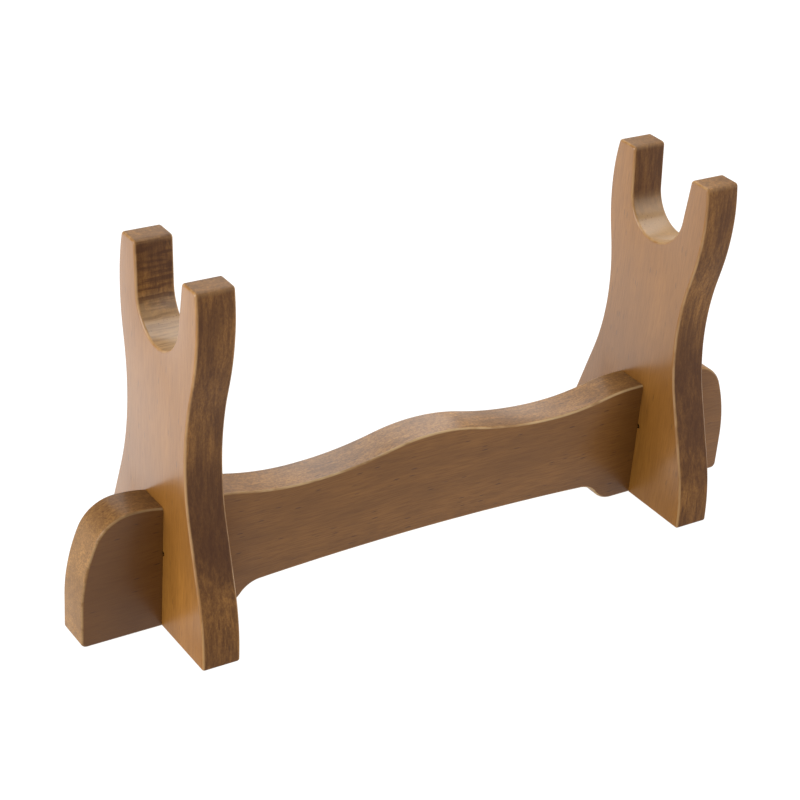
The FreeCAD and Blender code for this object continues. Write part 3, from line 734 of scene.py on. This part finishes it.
def stain_board(tree, wood, grain, places, notes):
    # How far a point lies inside the darker zone: painted shade on the stretcher's left ear, a
    # darker band on the uprights.
    away = add(tree, MATH, (places[wood["darker_zone"]["along"]], -wood["darker_zone"]["at"]), **PLUS)
    away = add(tree, MATH, (away,), operation="ABSOLUTE")
    reach = wood["darker_zone"]["reach"]
    in_darker_zone = add(tree, RANGE, (away, DARKER_CORE * reach, reach, 1.0, 0.0), **SMOOTH)

    # The arris paling, part wear and part painted highlight, less in dark blots and on the ears.
    arris_wear_and_highlight = wood["arris_wear_and_highlight"]
    blotted = add(tree, RANGE, (grain["blots"], 0.0, 1.0, arris_wear_and_highlight, arris_wear_and_highlight / BLOT_GUARD), **SMOOTH)
    arris_pale_share = add(tree, RANGE, (notes["arris"], *ON_ARRIS), **SMOOTH)
    for limit in (blotted, add(tree, RANGE, (places["length"], *EAR_WEAR_AND_HIGHLIGHT), **SMOOTH)):
        arris_pale_share = add(tree, MATH, (arris_pale_share, limit), **TIMES)
    pores = add(tree, MATH, (grain["pores"], wood["pores"]), **TIMES)

    colour = stain_face(tree, wood, grain, places, in_darker_zone)
    for share, towards in ((notes["on edge"], stain_edge(tree, wood, grain, places, in_darker_zone)),
                           (pores, linear(PORE_COLOUR)), (arris_pale_share, linear(wood["worn_and_lit"]))):
        colour = add(tree, MIX, {0: share, 6: colour, 7: towards}, out=2, data_type="RGBA")
    return colour


print("pores are filled with", PORE_COLOUR)

# %% [markdown]
# The lacquer. It is one satin coat. On a face it lies on top and gives a soft sheen, so it is a
# coat over the wood in the shader. Edges drink it, rubbed arrises have lost it, and a sawn slot
# never had any. The wood under it is duller and a little uneven, and its pores and
# fibres can be felt, which is what the bump gives.

# %% How much lacquer
LOST_ON_ARRIS = (0.1, 0.9, 1.0, 0.4)
THIN_TO_JOINT = (56.0, 108.0, 1.0, 0.3)     # mm from the middle, along the stretcher's edges
CRADLE_GLOSS = 0.45
IN_SLOT = (0.0, 0.6, 1.0, 0.0)


def lacquer_on(tree, wood, places, notes):
    on_face, on_rim = wood["coat"]
    if "joint" in wood:
        thinner = add(tree, RANGE, (places["length"], *THIN_TO_JOINT), **SMOOTH)
        on_rim = add(tree, MATH, (thinner, on_rim), **TIMES)
    coat = add(tree, MIX, {"Factor": notes["on edge"], "A": on_face, "B": on_rim})
    left = add(tree, RANGE, (notes["arris"], *LOST_ON_ARRIS), **SMOOTH)
    coat = add(tree, MATH, (coat, left), **TIMES)
    if "thin foot" in wood:
        full = add(tree, RANGE, (places["height"], *wood["thin foot"]), **SMOOTH)
        coat = add(tree, MATH, (coat, full), **TIMES)
    gloss = add(tree, MATH, (places["cradle_bottom"], CRADLE_GLOSS), **TIMES)
    coat = add(tree, MATH, (coat, gloss), operation="MAXIMUM")
    unsawn = add(tree, RANGE, (notes["sawn"], *IN_SLOT), **SMOOTH)
    return add(tree, MATH, (coat, unsawn), **TIMES)


print("an arris keeps", LOST_ON_ARRIS[3], "of its lacquer")

# %% The bare wood's surface
ROUGHNESS, UNEVEN, EDGE_ROUGHER = 0.43, 0.16, 0.12
PORE_DIP, SPECK_RISE = -1.2, 0.6            # against a fibre's height of 1
FELT_DEPTH, FELT_STRENGTH = 0.06 * MM, 0.35


def wood_surface(tree, grain, notes):
    """Its roughness, and the normal that its fibres, pores and specks bend."""
    centred = add(tree, MATH, (grain["fibres"], 0.5), **MINUS)
    rough = add(tree, MATH, (centred, UNEVEN, ROUGHNESS), **TIMES_PLUS)
    rough = add(tree, MATH, (notes["on edge"], EDGE_ROUGHER, rough), **TIMES_PLUS)
    felt = add(tree, MATH, (grain["pores"], PORE_DIP, grain["fibres"]), **TIMES_PLUS)
    specks = add(tree, MATH, (grain["specks"], notes["on edge"]), **TIMES)
    felt = add(tree, MATH, (specks, SPECK_RISE, felt), **TIMES_PLUS)
    return rough, add(tree, "ShaderNodeBump", {
        "Strength": FELT_STRENGTH, "Distance": FELT_DEPTH, "Height": felt})


print("fibres are felt to", FELT_DEPTH / MM, "mm")

# %% Wood, stained and lacquered
WOOD_IOR, WOOD_SHINE = 1.5, 0.15        # cellulose is near 1.5, and stained wood hardly shines
COAT_IOR, COAT_ROUGHNESS = 1.65, 0.24   # clear lacquer is near 1.5; raised to match its sheen


def lacquered_hardwood(name, wood):
    material = bpy.data.materials.new(name)
    material.use_nodes = True
    tree = material.node_tree
    tree.nodes.clear()
    own = add(tree, "ShaderNodeTexCoord", out="Object")
    axes = add(tree, "ShaderNodeSeparateXYZ", (own,)).node.outputs
    grain, places = grow_grain(tree, axes, wood["grain"]), find_places(tree, axes)
    notes = {note: add(tree, "ShaderNodeAttribute", out="Fac", attribute_name=note)
             for note in ("edge", "arris", "sawn")}
    notes["on edge"] = add(tree, RANGE, (notes["edge"], *ON_EDGE), **SMOOTH)
    rough, normal = wood_surface(tree, grain, notes)
    shader = add(tree, "ShaderNodeBsdfPrincipled", {
        "Base Color": stain_board(tree, wood, grain, places, notes), "Roughness": rough,
        "IOR": WOOD_IOR, "Specular IOR Level": WOOD_SHINE, "Normal": normal,
        "Coat Weight": lacquer_on(tree, wood, places, notes),
        "Coat Roughness": COAT_ROUGHNESS, "Coat IOR": COAT_IOR})
    add(tree, "ShaderNodeOutputMaterial", {"Surface": shader})
    print(name, "has", len(tree.nodes), "nodes")
    return material


# %% [markdown]
# The uprights' finish. Their broad faces have the whole coat of lacquer, so they shine palest, and
# their edges are the darkest wood of the stand. Faces and edges are painted darker in a band
# around
# 70 mm up, above the joint, and the feet have hardly any lacquer.

# %% Satin lacquer on the uprights
upright_wood = lacquered_hardwood("satin lacquered hardwood, upright grain", {
    "grain": ALONG_Z,
    "face": ("#926227", "#704616"), "edge": ("#8C602F", "#40210B"),
    "mottle": {"blots": 0.4, "clouds": 0.42, "streaks": 0.58, "specks": 0.34},
    # Faces and edges painted darker in a band around 70 mm up.
    "darker_zone": {"along": "height", "at": 70.0, "reach": 40.0, "face": 0.3, "edge": 0.58},
    # The pale colour of worn arrises, and of the painted highlight on the cradles' bottoms and
    # prong tops.
    "worn_and_lit": "#BF9E72", "arris_wear_and_highlight": 0.35, "pores": 0.5,
    "coat": (1.0, 0.06), "thin foot": (5.0, 55.0)})

# %% [markdown]
# The stretcher's finish. Its faces are browner and duller than the uprights', with little lacquer.
# Its top edge has most of it, and so a sheen in the middle that fades towards the joints. Painted
# shade darkens it beside both joints, where the uprights keep light off it, and on the left ear,
# which stands in the left upright's shade.

# %% Satin lacquer on the stretcher
beam_wood = lacquered_hardwood("satin lacquered hardwood, long grain", {
    "grain": ALONG_X,
    "face": ("#7D5222", "#56330F"), "edge": ("#A67840", "#583A20"),
    "mottle": {"blots": 0.3, "clouds": 0.35, "streaks": 0.4, "specks": 0.55},
    # Painted shade on the left ear, which stands in the left upright's shade.
    "darker_zone": {"along": "across", "at": -180.0, "reach": 32.0, "face": 0.6, "edge": 0.15},
    # Painted shade beside both joints, where the uprights keep light off the stretcher.
    "joint": {"face": 0.45, "edge": 0.32},
    # The pale colour of worn arrises with painted highlight along them, and of the painted light
    # on the ears' ends.
    "worn_and_lit": "#CCAE80", "arris_wear_and_highlight": 0.55, "pores": 0.75,
    "coat": (0.2, 0.62)})

# %% [markdown]
# Cut, sand and stand up. Each board is made lying flat, because that is where an outline is easy
# to draw, then turned upright and moved to its place. The tree's result is turned into a plain
# mesh, with real faces rather than a live modifier.
# Edges between faces that meet at a clear angle stay sharp, and the rest is shaded smooth.

# %% Cut one board
WANDER = 0.16 * MM          # how much the sanding varies
SHARP = math.radians(30)


def cut_board(name, runs, thickness, seed, finish):
    bench = wire_object(name + "_wire", runs)
    modifier = bench.modifiers.new("sanded board", "NODES")
    modifier.node_group = board
    sizes = {"Thickness": thickness, "Arris radius": ARRIS, "Wander": WANDER, "Seed": seed,
             "Finish": finish}
    for item in board.interface.items_tree:
        if item.name in sizes:
            modifier[item.identifier] = sizes[item.name]
    graph = bpy.context.evaluated_depsgraph_get()
    mesh = bpy.data.meshes.new_from_object(bench.evaluated_get(graph), depsgraph=graph,
                                           preserve_all_data_layers=True)
    bpy.data.objects.remove(bench)
    mesh.name = name
    return mesh


print("sanding varies by up to", WANDER / MM, "mm")

# %% Stand it up
LENGTHWAYS = Matrix.Rotation(math.pi / 2, 4, "X")
CROSSWAYS = Matrix.Rotation(math.pi / 2, 4, "Z") @ LENGTHWAYS


def stand_board(mesh, place):
    """Moves the mesh itself, so that the object stays at the origin, and shades it."""
    mesh.transform(place)
    shell = bmesh.new()
    shell.from_mesh(mesh)
    bmesh.ops.recalc_face_normals(shell, faces=shell.faces)
    open_edges = sum(not edge.is_manifold for edge in shell.edges)
    for edge in shell.edges:
        edge.smooth = edge.is_manifold and edge.calc_face_angle() < SHARP
    for face in shell.faces:
        face.smooth = True
    shell.to_mesh(mesh)
    shell.free()
    piece = bpy.data.objects.new(mesh.name, mesh)
    bpy.context.scene.collection.objects.link(piece)
    print(mesh.name, "has", len(mesh.polygons), "faces and", open_edges, "open edges")
    return piece


# %% Make the boards
STRETCHER_SEED = 1.0
UPRIGHT_SIDES = {"left_upright": (-1, 2.0), "right_upright": (1, 3.0)}      # side and seed

stretcher_board = stand_board(
    cut_board("stretcher_board", stretcher_runs, BEAM_THICKNESS, STRETCHER_SEED, beam_wood),
    LENGTHWAYS)
upright_boards = {}
for body, (side, seed) in UPRIGHT_SIDES.items():
    mesh = cut_board(body + "_board", upright_runs, UPRIGHT_THICKNESS, seed, upright_wood)
    place = Matrix.Translation((side * UPRIGHT_MIDDLE, 0, 0)) @ CROSSWAYS
    upright_boards[body] = stand_board(mesh, place)

# %% [markdown]
# Tie the boards to the design. Each board rides on its own body, so it lifts off the stretcher as
# the design says, and it stands for the plain solid of the same name.

# %% Each board rides on its body and stands for its node
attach(stretcher_board, "stretcher")
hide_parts("stretcher")
for body, upright_board in upright_boards.items():
    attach(upright_board, body)
    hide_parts(body)
print("declared:", [stretcher_board.name] + [piece.name for piece in upright_boards.values()])

# %% [markdown]
# The table. The stand is shown on a sheet of white acrylic that is lit from below. It is the
# product maker's way to lose every shadow: the sheet is as bright as white paper, so nothing under
# the stand looks darker than the rest, and it sends a little light up into the arch. A white floor
# lit only from above would keep a soft grey shadow.

# %% A backlit sheet
SHEET_HALF = 30.0           # so wide that no view sees its end
SHEET_DROP = 0.2 * MM       # keeps it clear of the boards' undersides
GLOW = 1.02                 # just over white

sheet = bpy.data.materials.new("backlit white acrylic sheet")
sheet.use_nodes = True
for socket, value in (("Base Color", linear("#5A5A5A")), ("Roughness", 1.0),
                      ("Specular IOR Level", 0.0), ("Emission Color", linear("#FFFFFF")),
                      ("Emission Strength", GLOW)):
    sheet.node_tree.nodes["Principled BSDF"].inputs[socket].default_value = value
floor_mesh = bpy.data.meshes.new("floor")
corners = [(x * SHEET_HALF, y * SHEET_HALF, 0) for x, y in ((-1, -1), (1, -1), (1, 1), (-1, 1))]
floor_mesh.from_pydata(corners, [], [(0, 1, 2, 3)])
floor_mesh.materials.append(sheet)
floor = bpy.data.objects.new("floor", floor_mesh)
floor.location.z = -SHEET_DROP
bpy.context.scene.collection.objects.link(floor)
print("sheet is", 2 * SHEET_HALF, "m wide")

# %% [markdown]
# The lights. A strong softbox on the left makes the uprights' broad faces the palest wood in
# view, and a large one overhead lights every top edge. One behind sends its reflection along the
# stretcher's top, which is where its sheen comes from. A weak one in front on the right keeps the
# edges that face the viewer from going black, without taking their depth of colour.

# %% Softboxes
SOFTBOXES = (               # name, place, aim, width and height in metres, watts
    ("side_softbox", (-1.45, 0.1, 0.62), (0.0, 0.0, 0.08), 1.0, 0.8, 23.2),
    ("overhead_softbox", (0.45, 0.15, 1.4), (0.0, 0.0, 0.0), 1.4, 1.4, 24.0),
    ("rear_softbox", (0.47, 1.18, 0.86), (0.0, 0.0, 0.1), 1.15, 0.9, 6.4),
    ("fill_softbox", (0.9, -1.0, 0.7), (0.0, 0.0, 0.05), 1.0, 0.8, 7.0))

for name, place, aim, width, tall, watts in SOFTBOXES:
    light = bpy.data.lights.new(name, "AREA")
    light.shape = "RECTANGLE"
    light.size, light.size_y = width, tall
    light.energy = watts
    lamp = bpy.data.objects.new(name, light)
    lamp.location = place
    lamp.rotation_euler = (Vector(aim) - Vector(place)).to_track_quat("-Z", "Y").to_euler()
    bpy.context.scene.collection.objects.link(lamp)
    print(name, watts, "W")

# %% [markdown]
# The room. The walls are white low down, so that the sheet has no horizon behind it, and the
# ceiling is dim, so that the softboxes and not the room shape the wood. It is one number that
# changes with the height of the direction looked in.

# %% White walls, dim ceiling
WALLS, CEILING = 1.0, 0.1
WALL_TOP = (0.1, 0.27)      # height of the direction, where the walls end and the ceiling starts

world = bpy.data.worlds.new("studio")
world.use_nodes = True
room = world.node_tree
direction = add(room, "ShaderNodeTexCoord", out="Generated")
rise = add(room, "ShaderNodeSeparateXYZ", (direction,), out=2)
bright = add(room, RANGE, (rise, *WALL_TOP, WALLS, CEILING), **SMOOTH)
background = room.nodes["Background"].inputs
background["Color"].default_value = linear("#FFFFFF")
room.links.new(bright, background["Strength"])
bpy.context.scene.world = world
bpy.context.scene.view_settings.view_transform = "Standard"
print("room is", WALLS, "at the walls and", CEILING, "above")

# %% [markdown]
# The camera stands to the left of the stand and above it, with a long lens, so the boards keep
# their proportions. The lens is shifted up a little, as a view camera is, to centre the stand.

# %% Camera
PLACE = (-0.5482, -0.7670, 0.5974)
TURN = (58.87, -4.051, -32.494)     # degrees about X, Y and Z

lens = bpy.data.cameras.new("camera")
lens.sensor_width = 36.0
lens.lens = 96.1
lens.shift_y = 0.113
camera = bpy.data.objects.new("camera", lens)
camera.location = PLACE
camera.rotation_euler = [math.radians(angle) for angle in TURN]
bpy.context.scene.collection.objects.link(camera)
bpy.context.scene.camera = camera
print("camera is", round(camera.location.length, 2), "m from the middle of the stand")
